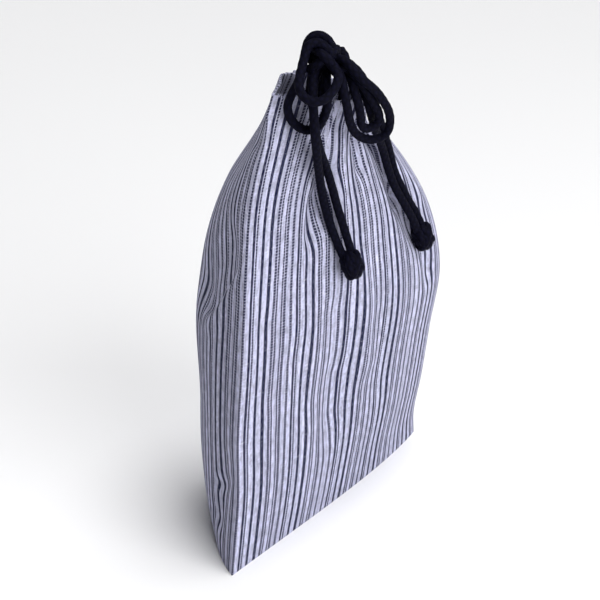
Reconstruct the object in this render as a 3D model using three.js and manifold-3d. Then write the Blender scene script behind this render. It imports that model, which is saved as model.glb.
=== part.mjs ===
// Drawstring pouch of striped cotton, filled and standing on its bottom, with its mouth drawn up
// and the doubled cord tied in a bow over it. Millimetres, +Z up. X runs along the pouch's width,
// from its near folded edge (-X) to its far edge (+X), and the front panel faces -Y. The origin is
// on the surface that the pouch stands on.
import * as THREE from "three";
import { mergeVertices } from "three/addons/utils/BufferGeometryUtils.js";
import Module from "manifold-3d";

const wasm = await Module();
wasm.setup();

// Driving dimensions
const POUCH_HEIGHT = 270;
const CLOTH_WIDTH = 210; // one panel, laid flat
const CLOTH_WALL = 1.8;
const CREASE_MITRE = 1.6; // the inside of a folded edge lies at most this many walls from its outside
const SWELL_POWER = 0.9; // how round the filled panels are between their edges
const EDGE_CALM = 0.06; // share of a panel beside each edge over which its folds die out
const FOOT_CALM = 12; // height over which the folds die out above the base
const CORD = 5;
const PIECE_GAP = 0.3;
const END_KNOT_HALF = [7.7, 7.7, 8.8]; // half the size of the knot at the end of each tail

// How finely the solids are cut
const PANEL_STEPS = 44;
const HEIGHT_STEPS = 30;
const OUTLINE_STEPS = 120;
const CORD_SIDES = 8;
const CORD_STEP = 9;
const LOOP_STEP = 5; // the bow's loops bend more tightly

// Sections of the filled pouch from its base to its rim. The near and far edges are given in plan,
// front and back say how far the panels swell out from the line between the edges, the leans push
// the fullest place towards the near edge (+) or the far edge (-), lift raises the near end over the
// far one, rise raises the middle of the back panel, and ease lets the cloth beside the near edge lie
// flatter than the gathered rest.
const SECTIONS = [
  {
    height: 0, nearX: -102.5, nearY: 0, farX: 102, farY: 0, front: 4.5, back: 50,
    frontLean: -0.7, backLean: 0.6, lift: 0, rise: 0, ease: 0,
  },
  {
    height: 19, nearX: -100, nearY: 0, farX: 99, farY: -1, front: 7, back: 63,
    frontLean: -0.4, backLean: 0.5, lift: 0, rise: 0, ease: 0,
  },
  {
    height: 49, nearX: -95.5, nearY: 0.5, farX: 98, farY: -6, front: 8, back: 75,
    frontLean: -0.4, backLean: 0.4, lift: 0, rise: 0, ease: 0,
  },
  {
    height: 89, nearX: -96, nearY: 0, farX: 95, farY: -12, front: 9, back: 76,
    frontLean: -0.4, backLean: 0.4, lift: 0, rise: 0, ease: 0,
  },
  {
    height: 135, nearX: -92.5, nearY: -0.5, farX: 95, farY: -17, front: 8.5, back: 83,
    frontLean: -0.4, backLean: 0.4, lift: 0, rise: 0, ease: 0,
  },
  {
    height: 178, nearX: -86, nearY: 2, farX: 89, farY: -9, front: 10, back: 74,
    frontLean: -0.4, backLean: 0.4, lift: -1, rise: 0, ease: 0,
  },
  {
    height: 221, nearX: -74.5, nearY: 8, farX: 68, farY: 6, front: 16, back: 50,
    frontLean: -0.3, backLean: 0.25, lift: 1, rise: 0, ease: 0.1,
  },
  {
    height: 251, nearX: -59.5, nearY: 10.5, farX: 45, farY: 17, front: 22, back: 27,
    frontLean: -0.15, backLean: -0.25, lift: 15, rise: 3, ease: 0.3,
  },
  {
    height: 270, nearX: -45.5, nearY: 14, farX: 34, farY: 11, front: 30, back: 21,
    frontLean: 0, backLean: -0.5, lift: 14.5, rise: 8, ease: 0.4,
  },
];

// Folds, each a soft trough (depth below zero) or ridge along a straight line in the cloth. across is
// the share of the panel's width from the near edge, and up is the height. A line that starts above
// the rim runs out over it.
const FOLDS = [
  { panel: "front", across: 0.33, up: 295, toAcross: 0.37, toUp: 228, width: 8, depth: -5 },
  { panel: "front", across: 0.37, up: 228, toAcross: 0.31, toUp: 160, width: 10, depth: -5 },
  { panel: "front", across: 0.43, up: 290, toAcross: 0.44, toUp: 215, width: 8, depth: 3 },
  { panel: "front", across: 0.52, up: 290, toAcross: 0.57, toUp: 225, width: 7, depth: -4 },
  { panel: "front", across: 0.62, up: 290, toAcross: 0.79, toUp: 192, width: 8, depth: -6 },
  { panel: "front", across: 0.79, up: 192, toAcross: 0.9, toUp: 135, width: 9, depth: -6 },
  { panel: "front", across: 0.76, up: 270, toAcross: 0.93, toUp: 190, width: 9, depth: 3 },
  { panel: "front", across: 0.4, up: 140, toAcross: 0.42, toUp: 75, width: 13, depth: -3 },
  { panel: "front", across: 0.5, up: 165, toAcross: 0.57, toUp: 100, width: 12, depth: 2.5 },
  { panel: "back", across: 0.24, up: 182, toAcross: 0.05, toUp: 158, width: 11, depth: -9 },
  { panel: "back", across: 0.02, up: 70, toAcross: 0.1, toUp: 25, width: 8, depth: -4 },
  { panel: "back", across: 0.05, up: 290, toAcross: 0.04, toUp: 250, width: 8, depth: -2 },
  { panel: "back", across: 0.22, up: 290, toAcross: 0.2, toUp: 230, width: 8, depth: -5 },
  { panel: "back", across: 0.36, up: 290, toAcross: 0.4, toUp: 220, width: 9, depth: -6 },
  { panel: "back", across: 0.52, up: 290, toAcross: 0.5, toUp: 200, width: 9, depth: -6 },
  { panel: "back", across: 0.66, up: 290, toAcross: 0.7, toUp: 215, width: 9, depth: -6 },
  { panel: "back", across: 0.8, up: 290, toAcross: 0.88, toUp: 205, width: 11, depth: -3 },
  { panel: "back", across: 0.45, up: 150, toAcross: 0.6, toUp: 60, width: 16, depth: -5 },
  { panel: "back", across: 0.85, up: 170, toAcross: 0.7, toUp: 90, width: 14, depth: -5 },
];

// The bow's knot and the knots at the tails' ends: where they lie, half their size, how they are turned
// about X, Y and Z, and how many turns of cord show.
const BOW_KNOT = { centre: [-21.7, -4.4, 296.4], half: [10.5, 11, 8], turn: [0, 0, -0.95], bands: 3 };
const END_KNOTS = [
  { name: "end_knot_front", centre: [-13.5, -20.3, 174.7], turn: [0.5, 0.35, 0.6] },
  { name: "end_knot_far", centre: [66.4, -19.9, 164.5], turn: [0.5, 0.35, -0.4] },
];

// Routes of the cord's strands, from the mouth or the bow's knot outwards. The strands that end in a
// knot run on into it, and are cut off at its surface.
const CORD_ROUTES = {
  cord_rise_near_a: [
    [-34.4, 2.8, 260.8], [-31.6, 0.8, 268], [-28, 1.4, 275.4], [-25.2, 2.4, 282], [-23.6, 2.6, 286.8],
    [-23.2, -0.2, 292],
  ],
  cord_rise_near_b: [
    [-25.2, 0.4, 257.6], [-24, -1.2, 264.6], [-21.8, -1, 272], [-20.4, -1.2, 278.6],
    [-19.8, -2.4, 284.4], [-21.2, -4, 290.2],
  ],
  cord_rise_far_a: [
    [8.8, 2.6, 253], [6.2, 1.8, 262.8], [2.4, 0, 272.4], [-4, -2.2, 280.8], [-12.2, -3.4, 287.2],
    [-19.8, -5, 293.2],
  ],
  cord_rise_far_b: [
    [15.6, 6.4, 252.2], [13.8, 6, 260], [10, 5.2, 269.4], [4.2, 3.8, 278.8], [-6, 2.8, 287.8],
    [-18.6, 0.4, 294.8],
  ],
  cord_loop_left_a: [
    [-19.2, -10.4, 299.2], [-22.6, -9.6, 304], [-24.4, -7.2, 308.2], [-25.8, -4.6, 309.8],
    [-27.6, -2, 310], [-29.4, 0.2, 308.2], [-30.6, 1.2, 305.4], [-32, 1.4, 301.4], [-33.6, 1.4, 296.8],
    [-36.6, 0.4, 292], [-41, 0, 286.4], [-44.8, 1, 281], [-47.6, 1.6, 275], [-47.2, 0.4, 268.6],
    [-43.8, -2.2, 263.4], [-39.4, -5.8, 260.6], [-35.6, -9.8, 262.2], [-35, -13.4, 268.2],
    [-35.2, -15.6, 275.6], [-34.4, -14.6, 282.6], [-31.6, -12.4, 287], [-26.3, -8.9, 289.8],
    [-23, -7.2, 293.4],
  ],
  cord_loop_left_b: [
    [-25.2, -11.6, 299.5], [-28.4, -11.4, 303.2], [-30.8, -9.4, 306.4], [-32, -7.2, 307.8],
    [-33.8, -5.2, 307.8], [-35.8, -3.8, 306.8], [-37.4, -3.2, 304.6], [-39.4, -3.2, 301.2],
    [-42.4, -3.8, 296.6], [-46, -4.8, 291.6], [-48.8, -6.8, 287], [-49.4, -10.4, 282.8],
    [-48, -15, 280.8], [-45, -18.8, 281.4], [-40.2, -21.2, 284.6], [-35.8, -21.8, 288.8],
    [-32.6, -20.2, 292.6], [-31, -16, 295.8], [-28, -10, 297.4],
  ],
  cord_loop_right_a: [
    [-22.8, -11, 297.6], [-22.8, -16.1, 298.2], [-23, -20.2, 296.6], [-22.2, -24.4, 292.6],
    [-19.6, -28.4, 288], [-13.8, -32, 281.8], [-7.2, -33.4, 274.2], [-1.8, -33.8, 266.8],
    [1.6, -32.8, 259.8], [2.4, -31, 253.6], [0.6, -28, 249.8], [-3.8, -24.6, 249],
    [-9.4, -21.6, 251.2], [-14.6, -19.8, 256], [-19, -19.8, 262.8], [-22.6, -20.6, 270.2],
    [-25.2, -20.6, 277.4], [-26.4, -20, 283.2], [-26.4, -18.8, 287.6], [-26, -16.8, 291],
    [-25.2, -12.6, 293.6], [-23.6, -7, 294.6],
  ],
  cord_loop_right_b: [
    [-20.5, -9, 296], [-19, -15.6, 293.3], [-17.4, -21.2, 288.6], [-15.4, -25.2, 283.6],
    [-12.4, -27.6, 277.8], [-7.9, -28.4, 271.2], [-4.2, -28.6, 266], [-2.2, -28, 261.2],
    [-3, -27, 258.4], [-5.2, -25.6, 257], [-7.6, -24.2, 256.6], [-10.2, -23.2, 257.8],
    [-11.8, -22.6, 260], [-12.6, -22.8, 263], [-15, -23.4, 268.8], [-17, -22.8, 275.2],
    [-18.2, -21.4, 280.8], [-17.8, -19.4, 285.2], [-16.6, -15.8, 288.4], [-17.2, -12, 291.1],
    [-18, -7.8, 294],
  ],
  cord_tail_front_a: [
    [-26.2, -5.6, 296.6], [-31.2, -5.4, 294], [-35.2, -6.2, 290], [-38, -8, 285.6],
    [-41.4, -10.4, 280.2], [-44.2, -12.8, 274.8], [-46.2, -14.8, 269], [-46.8, -15.8, 262.6],
    [-43.6, -14.8, 252.4], [-33.4, -10, 233.6], [-23.8, -8, 210.2], [-18.2, -12, 189.6],
    [-15.2, -17.2, 176.2],
  ],
  cord_tail_front_b: [
    [-22.4, -4.2, 293.2], [-26.8, -3.4, 290.2], [-30.8, -4, 286.2], [-34.6, -6, 281],
    [-38.4, -8.8, 274.6], [-41.4, -11.6, 268.2], [-41.4, -12.8, 260.4], [-35.4, -11.4, 249.2],
    [-24.6, -10.2, 231], [-17, -11.8, 209], [-13.2, -16.6, 189.2], [-11.8, -20.4, 175.8],
  ],
  cord_tail_far_a: [
    [-16.4, -6.8, 294.4], [-10.4, -8.5, 291], [-9, -13.8, 287], [-8, -17.8, 282.4], [-7, -20.8, 276.4],
    [-6.2, -23.2, 270.2], [0.8, -21.4, 260.2], [13.4, -16.6, 247.4], [26.8, -12.6, 232.8],
    [36, -12.2, 215.2], [41.2, -13.4, 204.2], [47.2, -15.4, 193.8], [52.6, -17.4, 184.6],
    [57.4, -18.8, 176.2], [63.8, -18.8, 165.2],
  ],
  cord_tail_far_b: [
    [-16.8, -3, 296.2], [-6.8, -3.2, 293.2], [-1.8, -6.2, 289.4], [1.8, -11.4, 283.6],
    [3.8, -15.6, 276], [11, -15.6, 266.2], [19.6, -14, 254.2], [26.6, -13.2, 243], [35, -12, 229.8],
    [43, -11.8, 212.8], [49, -13.2, 201.8], [55, -15.2, 191.2], [61, -17, 181.8], [65.2, -18.6, 173.4],
    [69, -19.6, 163.6],
  ],
};

const STRIPED_COTTON = new THREE.MeshStandardMaterial({ color: 0xbdbbd3, roughness: 0.92, metalness: 0 });
const BRAIDED_CORD = new THREE.MeshStandardMaterial({ color: 0x0d0d20, roughness: 0.8, metalness: 0 });

// One column of the section table at any height, as a smooth curve through its rows.
function columnAt(name, height) {
  const last = SECTIONS.length - 1;
  let row = SECTIONS.findLastIndex((section) => section.height <= height);
  row = THREE.MathUtils.clamp(row, 0, last - 1);
  const slopeAt = (index) => {
    const before = SECTIONS[Math.max(index - 1, 0)];
    const after = SECTIONS[Math.min(index + 1, last)];
    return (after[name] - before[name]) / (after.height - before.height);
  };
  const low = SECTIONS[row];
  const high = SECTIONS[row + 1];
  const span = high.height - low.height;
  const s = (height - low.height) / span;
  const start = (1 + 2 * s) * (1 - s) ** 2 * low[name] + s * (1 - s) ** 2 * span * slopeAt(row);
  const end = s * s * (3 - 2 * s) * high[name] + s * s * (s - 1) * span * slopeAt(row + 1);
  return start + end;
}

function sectionAt(height) {
  const names = Object.keys(SECTIONS[0]).filter((name) => name !== "height");
  const section = Object.fromEntries(names.map((name) => [name, columnAt(name, height)]));
  return { ...section, height };
}

// 0 at a panel's edges and 1 at its fullest place.
function swell(chord, lean) {
  const leaned = chord + lean * chord * (1 - chord);
  return Math.max(4 * leaned * (1 - leaned), 0) ** SWELL_POWER;
}

// A panel's plain outline in plan, at a share of the straight line between its edges.
function outlineAt(panel, section, chord) {
  const x = THREE.MathUtils.lerp(section.nearX, section.farX, chord);
  const y = THREE.MathUtils.lerp(section.nearY, section.farY, chord);
  if (panel === "front") {
    return new THREE.Vector2(x, y - section.front * swell(chord, section.frontLean));
  }
  return new THREE.Vector2(x, y + section.back * swell(chord, section.backLean));
}

// How far all folds together push a place of the cloth out of the panel.
function foldPush(panel, across, up) {
  const place = new THREE.Vector3(across * CLOTH_WIDTH, up, 0);
  const nearest = new THREE.Vector3();
  let push = 0;
  for (const fold of FOLDS.filter((row) => row.panel === panel)) {
    const line = new THREE.Line3(
      new THREE.Vector3(fold.across * CLOTH_WIDTH, fold.up, 0),
      new THREE.Vector3(fold.toAcross * CLOTH_WIDTH, fold.toUp, 0),
    );
    line.closestPointToPoint(place, true, nearest);
    push += fold.depth * Math.exp(-nearest.distanceToSquared(place) / fold.width ** 2);
  }
  return push;
}

// The chord shares of one panel at one height that space its cloth evenly.
function evenChords(panel, section) {
  const chords = [];
  const runs = [0];
  for (let i = 0; i <= OUTLINE_STEPS; i += 1) {
    chords.push(0.5 - 0.5 * Math.cos((Math.PI * i) / OUTLINE_STEPS));
    if (i > 0) {
      const before = outlineAt(panel, section, chords[i - 1]);
      const here = outlineAt(panel, section, chords[i]);
      runs.push(runs[i - 1] + here.distanceTo(before));
    }
  }
  const shares = [];
  for (let k = 0; k <= PANEL_STEPS; k += 1) {
    const across = k / PANEL_STEPS;
    const run = (across + section.ease * across * (1 - across)) * runs[OUTLINE_STEPS];
    const i = THREE.MathUtils.clamp(runs.findIndex((value) => value >= run), 1, OUTLINE_STEPS);
    const s = (run - runs[i - 1]) / (runs[i] - runs[i - 1]);
    shares.push(THREE.MathUtils.lerp(chords[i - 1], chords[i], Math.min(s, 1)));
  }
  return shares;
}

function clothPoint(panel, section, across, chord) {
  const plan = outlineAt(panel, section, chord);
  const edge = THREE.MathUtils.clamp(Math.min(chord, 1 - chord) / EDGE_CALM, 0, 1);
  const foot = THREE.MathUtils.clamp(section.height / FOOT_CALM, 0, 1);
  const push = foldPush(panel, across, section.height) * edge * foot;
  const y = panel === "front" ? plan.y - push : plan.y + push;
  const rise = panel === "back" ? section.rise * swell(chord, 0) : 0;
  return new THREE.Vector3(plan.x, y, section.height + section.lift * (0.5 - chord) + rise);
}

// One ring of the cloth's outside: the front panel from the near edge to the far one, then the back.
function outerRing(height) {
  const section = sectionAt(height);
  const panelPoints = (panel) =>
    evenChords(panel, section).map((chord, k) => clothPoint(panel, section, k / PANEL_STEPS, chord));
  const front = panelPoints("front");
  const back = panelPoints("back");
  return [...front, ...back.reverse().slice(1, -1)];
}

// The ring of the inside at a height: a cloth's thickness in from the outside, square to the cloth.
function innerRing(height) {
  const ring = outerRing(height);
  return ring.map((here, j) => {
    const before = ring[(j + ring.length - 1) % ring.length];
    const after = ring[(j + 1) % ring.length];
    const arriving = new THREE.Vector2(here.x - before.x, here.y - before.y).normalize();
    const leaving = new THREE.Vector2(after.x - here.x, after.y - here.y).normalize();
    const along = arriving.clone().add(leaving).normalize();
    const mitre = Math.min(1 / along.dot(arriving), CREASE_MITRE);
    const inset = CLOTH_WALL * mitre;
    return new THREE.Vector3(here.x - along.y * inset, here.y + along.x * inset, here.z);
  });
}

// A closed shell from the outer and inner rings, with a rim at the top and a flat double base.
function clothShell() {
  const outer = [];
  const inner = [];
  for (let i = 0; i <= HEIGHT_STEPS; i += 1) {
    const share = i / HEIGHT_STEPS;
    outer.push(outerRing(share * POUCH_HEIGHT));
    inner.push(innerRing(THREE.MathUtils.lerp(CLOTH_WALL, POUCH_HEIGHT, share)));
  }
  const ring = outer[0].length;
  const points = [...outer.flat(), ...inner.flat()];
  const innerStart = outer.length * ring;
  const triangles = [];
  const quad = (a, b, c, d) => triangles.push(a, b, c, a, c, d);
  for (let i = 0; i < HEIGHT_STEPS; i += 1) {
    for (let j = 0; j < ring; j += 1) {
      const next = (j + 1) % ring;
      const low = i * ring;
      const high = low + ring;
      quad(low + j, low + next, high + next, high + j);
      quad(innerStart + low + next, innerStart + low + j, innerStart + high + j, innerStart + high + next);
    }
  }
  const top = HEIGHT_STEPS * ring;
  for (let j = 0; j < ring; j += 1) {
    const next = (j + 1) % ring;
    quad(top + j, top + next, innerStart + top + next, innerStart + top + j);
  }
  for (let k = 0; k < PANEL_STEPS; k += 1) {
    const backHere = (ring - k) % ring;
    const backNext = ring - k - 1;
    if (k > 0) {
      triangles.push(k, backHere, backNext);
      triangles.push(innerStart + k, innerStart + backNext, innerStart + backHere);
    }
    if (k < PANEL_STEPS - 1) {
      triangles.push(k, backNext, k + 1);
      triangles.push(innerStart + k, innerStart + k + 1, innerStart + backNext);
    }
  }
  const geometry = new THREE.BufferGeometry().setFromPoints(points);
  geometry.setIndex(triangles);
  return geometry;
}

// A lump of tightly wound cord: an ellipsoid with a groove between each two turns.
function woundLump({ half, turn, bands, grow = 0 }) {
  const [around, along] = [24, 16];
  const geometry = new THREE.SphereGeometry(1, around, along);
  const places = geometry.attributes.position;
  const place = new THREE.Vector3();
  const tilt = new THREE.Euler(...turn);
  const size = new THREE.Vector3(...half);
  const grooveDepth = 0.07;
  for (let i = 0; i < places.count; i += 1) {
    place.fromBufferAttribute(places, i);
    const angle = bands * Math.asin(THREE.MathUtils.clamp(place.x * 0.98, -1, 1)) + 0.6 * place.y;
    const wave = Math.abs(Math.sin(angle));
    place.multiplyScalar(1 - grooveDepth * (1 - wave));
    place.multiply(size).applyEuler(tilt);
    place.setLength(place.length() + grow);
    places.setXYZ(i, place.x, place.y, place.z);
  }
  return geometry;
}

function cordTube(route, stepLength) {
  const points = route.map((point) => new THREE.Vector3(...point));
  const curve = new THREE.CatmullRomCurve3(points, false, "centripetal");
  const corners = [];
  for (let i = 0; i < CORD_SIDES; i += 1) {
    const angle = (2 * Math.PI * i) / CORD_SIDES;
    corners.push(new THREE.Vector2(Math.cos(angle), Math.sin(angle)).multiplyScalar(CORD / 2));
  }
  const steps = Math.max(3, Math.round(curve.getLength() / stepLength));
  const shape = new THREE.Shape(corners);
  return new THREE.ExtrudeGeometry(shape, { steps, extrudePath: curve, bevelEnabled: false });
}

function toSolid(geometry) {
  const plain = geometry.clone();
  plain.deleteAttribute("normal");
  plain.deleteAttribute("uv");
  const merged = mergeVertices(plain, 1e-4);
  const vertProperties = new Float32Array(merged.attributes.position.array);
  const triVerts = new Uint32Array(merged.index.array);
  return new wasm.Manifold(new wasm.Mesh({ numProp: 3, vertProperties, triVerts }));
}

function toGeometry(solid) {
  const mesh = solid.getMesh();
  const geometry = new THREE.BufferGeometry();
  geometry.setAttribute("position", new THREE.BufferAttribute(mesh.vertProperties, 3));
  geometry.setIndex(new THREE.BufferAttribute(mesh.triVerts, 1));
  return geometry;
}

function namedMesh(name, geometry, material) {
  const mesh = new THREE.Mesh(geometry, material);
  mesh.name = name;
  return mesh;
}

const pouch = new THREE.Group();
pouch.add(namedMesh("pouch_cloth", clothShell(), STRIPED_COTTON));

const knots = [
  { name: "bow_knot", ...BOW_KNOT },
  ...END_KNOTS.map((knot) => ({ ...knot, half: END_KNOT_HALF, bands: 2 })),
];
let knotSpace = null;
for (const knot of knots) {
  const mesh = namedMesh(knot.name, woundLump(knot), BRAIDED_CORD);
  mesh.position.set(...knot.centre);
  pouch.add(mesh);
  const space = toSolid(woundLump({ ...knot, grow: PIECE_GAP })).translate(knot.centre);
  knotSpace = knotSpace ? knotSpace.add(space) : space;
}

for (const [name, route] of Object.entries(CORD_ROUTES)) {
  const stepLength = name.includes("loop") ? LOOP_STEP : CORD_STEP;
  const strand = toSolid(cordTube(route, stepLength)).subtract(knotSpace);
  pouch.add(namedMesh(name, toGeometry(strand), BRAIDED_CORD));
}

export default pouch;
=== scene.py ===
"""A filled pouch of striped cotton, standing upright, its mouth drawn up under a dark cord tied in a bow.

The forms are worked out in millimetres in the part's own frame and scaled to metres when a mesh is made.
"""

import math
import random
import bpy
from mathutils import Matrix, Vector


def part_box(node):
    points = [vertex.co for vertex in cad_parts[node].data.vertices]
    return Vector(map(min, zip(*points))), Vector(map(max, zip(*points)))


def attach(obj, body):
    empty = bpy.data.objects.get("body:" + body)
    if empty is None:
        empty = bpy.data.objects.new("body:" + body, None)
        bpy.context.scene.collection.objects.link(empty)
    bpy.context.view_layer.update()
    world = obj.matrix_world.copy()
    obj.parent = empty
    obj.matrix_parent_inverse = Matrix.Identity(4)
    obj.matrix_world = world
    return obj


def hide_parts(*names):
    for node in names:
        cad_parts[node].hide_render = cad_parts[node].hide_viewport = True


bl_info = {
    "name": "Striped drawstring pouch",
    "version": (1, 0, 0),
    "blender": (4, 5, 0),
    "location": "3D View > Sidebar > Pouch",
    "description": "Dresses the solids of a drawstring pouch in striped cotton and braided cord",
    "category": "Object",
}

import bpy
import numpy as np
from bpy.props import FloatProperty, FloatVectorProperty, IntProperty, PointerProperty
from mathutils import Matrix, Vector

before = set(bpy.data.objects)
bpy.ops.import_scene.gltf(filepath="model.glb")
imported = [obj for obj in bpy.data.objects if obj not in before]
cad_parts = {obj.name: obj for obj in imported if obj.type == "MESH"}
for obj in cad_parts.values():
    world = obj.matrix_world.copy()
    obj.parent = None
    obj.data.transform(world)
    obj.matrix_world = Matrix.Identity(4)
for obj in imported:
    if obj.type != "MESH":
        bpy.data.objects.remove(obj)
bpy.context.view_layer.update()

MM = 0.001

# Cloth form, in millimetres: sections of the filled pouch from its base to its rim.
SECTION_COLUMNS = (
    "height", "near_x", "near_y", "far_x", "far_y", "front", "back",
    "front_lean", "back_lean", "lift", "rise", "ease",
)
SECTIONS = np.array([
    (0, -102.5, 0, 102, 0, 4.5, 50, -0.7, 0.6, 0, 0, 0),
    (19, -100, 0, 99, -1, 7, 63, -0.4, 0.5, 0, 0, 0),
    (49, -95.5, 0.5, 98, -6, 8, 75, -0.4, 0.4, 0, 0, 0),
    (89, -96, 0, 95, -12, 9, 76, -0.4, 0.4, 0, 0, 0),
    (135, -92.5, -0.5, 95, -17, 8.5, 83, -0.4, 0.4, 0, 0, 0),
    (178, -86, 2, 89, -9, 10, 74, -0.4, 0.4, -1, 0, 0),
    (221, -74.5, 8, 68, 6, 16, 50, -0.3, 0.25, 1, 0, 0.1),
    (251, -59.5, 10.5, 45, 17, 22, 27, -0.15, -0.25, 15, 3, 0.3),
    (270, -45.5, 14, 34, 11, 30, 21, 0, -0.5, 14.5, 8, 0.4),
])
SWELL_POWER = 0.9
EDGE_CALM = 0.06
FOOT_CALM = 12
# The near edge is a sharp fold below and at the rim. Between these heights it is rounded off, which comes
# in and dies out over the fades. It is smoothed in passes, over a reach of columns to each side.
EDGE_ROUNDED = (183, 260)
EDGE_FADE = (32, 12)
EDGE_PASSES = 90
EDGE_REACH = 20
# Steps of the cloth's mesh: across a panel, up it, down the hem and across the base.
PANEL_COLUMNS = 150
HEIGHT_ROWS = 216
HEM_ROWS = 9
BASE_ROWS = 6
# Radius of the hem's roll, the slack inside it, and the depth of weave that the base shows.
HEM_ROLL = 0.8
HEM_SLACK = 0.2
BASE_WEAVE = 50

# Folds as lines in the cloth: panel, share across and height of both ends, width and depth. A depth
# below zero makes a trough.
FOLDS = (
    ("front", 0.33, 295, 0.37, 228, 8, -5),
    ("front", 0.37, 228, 0.31, 160, 10, -5),
    ("front", 0.43, 290, 0.44, 215, 8, 3),
    ("front", 0.52, 290, 0.57, 225, 7, -4),
    ("front", 0.62, 290, 0.79, 192, 8, -6),
    ("front", 0.79, 192, 0.9, 135, 9, -6),
    ("front", 0.76, 270, 0.93, 190, 9, 3),
    ("front", 0.4, 140, 0.42, 75, 13, -3),
    ("front", 0.5, 165, 0.57, 100, 12, 2.5),
    ("back", 0.02, 70, 0.1, 25, 8, -4),
    ("back", 0.36, 290, 0.4, 220, 9, -6),
    ("back", 0.52, 290, 0.5, 200, 9, -6),
    ("back", 0.66, 290, 0.7, 215, 9, -6),
    ("back", 0.8, 290, 0.88, 205, 11, -3),
    ("back", 0.45, 150, 0.6, 60, 16, -5),
    ("back", 0.85, 170, 0.7, 90, 14, -5),
)

# Finer creases that only the cloth itself shows, in the same columns.
CREASES = (
    ("front", 0.258, 290, 0.297, 230, 3, -3.2),
    ("front", 0.222, 290, 0.262, 236, 5, 1.8),
    ("front", 0.335, 295, 0.366, 236, 8, 3),
    ("front", 0.31, 214, 0.3, 198, 8, -4.5),
    ("front", 0.338, 192, 0.31, 160, 10, 5),
    ("front", 0.43, 262, 0.44, 215, 8, -1.5),
    ("front", 0.855, 156, 0.9, 133, 9, 3.5),
    ("front", 0.632, 290, 0.828, 190, 2.8, -3),
    ("front", 0.828, 190, 0.875, 158, 3.2, -1.8),
    ("front", 0.24, 124, 0.31, 92, 14, -1.6),
    ("front", 0.43, 98, 0.4, 58, 11, -1.8),
    ("front", 0.11, 152, 0.13, 108, 11, -1.3),
    ("front", 0.6, 122, 0.66, 78, 14, -1.6),
    ("front", 0.6, 290, 0.79, 192, 4.5, 1.8),
    ("back", 0.0, 62, 0.1, 46, 4.5, -2.6),
    ("back", 0.045, 262, 0.075, 246, 3.5, -5),
    ("back", 0.08, 290, 0.2, 240, 14, -2.5),
    ("back", 0.098, 195, 0.208, 163, 15, -8),
    ("back", 0.064, 187, 0.189, 151, 5, -3),
    ("back", 0.033, 182, 0.158, 146, 7, 2.5),
    ("front", 0.3, 285, 0.35, 240, 3, -1.4),
    ("front", 0.47, 285, 0.5, 245, 3, -1.3),
    ("front", 0.66, 285, 0.74, 230, 3.5, -1.5),
    ("front", 0.86, 275, 0.93, 225, 3, -1.2),
    ("back", 0.3, 285, 0.3, 250, 3, -1.2),
    ("back", 0.45, 285, 0.44, 245, 3, -1.2),
    ("back", 0.6, 285, 0.6, 250, 3, -1.2),
)

# The gathers tuck cloth away behind the fold of the neck: share across and height of both ends of its
# line, how much cloth it hides at its top, how that grows along the line, how wide its lip is, and how
# far across the panel it eases out again.
TUCK_LINE = (0.258, 290, 0.313, 205)
TUCK_CLOTH = 42
TUCK_GROWTH = 1.3
TUCK_LIP = 0.016
TUCK_EASE = 0.7
# How many rows the stripes are evened over, up and down.
STRIPE_CALM = 16

# Loose threads at the near end of the front rim: how many, their places along it in columns of the mesh,
# how far they reach in millimetres, and their radius in metres.
RIM_THREADS = 26
RIM_THREAD_PLACES = (0.2, 16)
RIM_THREAD_REACH = (1.0, 2.6)
RIM_THREAD_RADIUS = 0.00013
RIM_THREAD_SIDES = 5

# Warp stripes in the order they are woven, from the near fold. Each letter group is one stripe.
STRIPE_REPEAT = ("Db", "Sd", "S", "Sb", "Dd", "dD", "Db", "Sd", "S", "Sb", "Dd", "dD", "d")
# Width of the first line in millimetres, whether it is dotted, and the same of the second line.
STRIPE_KINDS = {
    "S": (2.3, 0, 0, 0),
    "Sb": (2.9, 0, 0, 0),
    "Sd": (2.0, 0, 1.4, 1),
    "Db": (2.2, 1, 0, 0),
    "Dd": (2.1, 1, 1.4, 1),
    "dD": (1.4, 1, 2.1, 1),
    "d": (1.9, 1, 0, 0),
}
# How far a stripe wanders, how far the two lines of a pair lie from its middle, and the pitch of the
# threads, in millimetres.
STRIPE_WANDER = 1.2
PAIR_OFFSET = 1.25
THREAD_PITCH = 0.9

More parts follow.
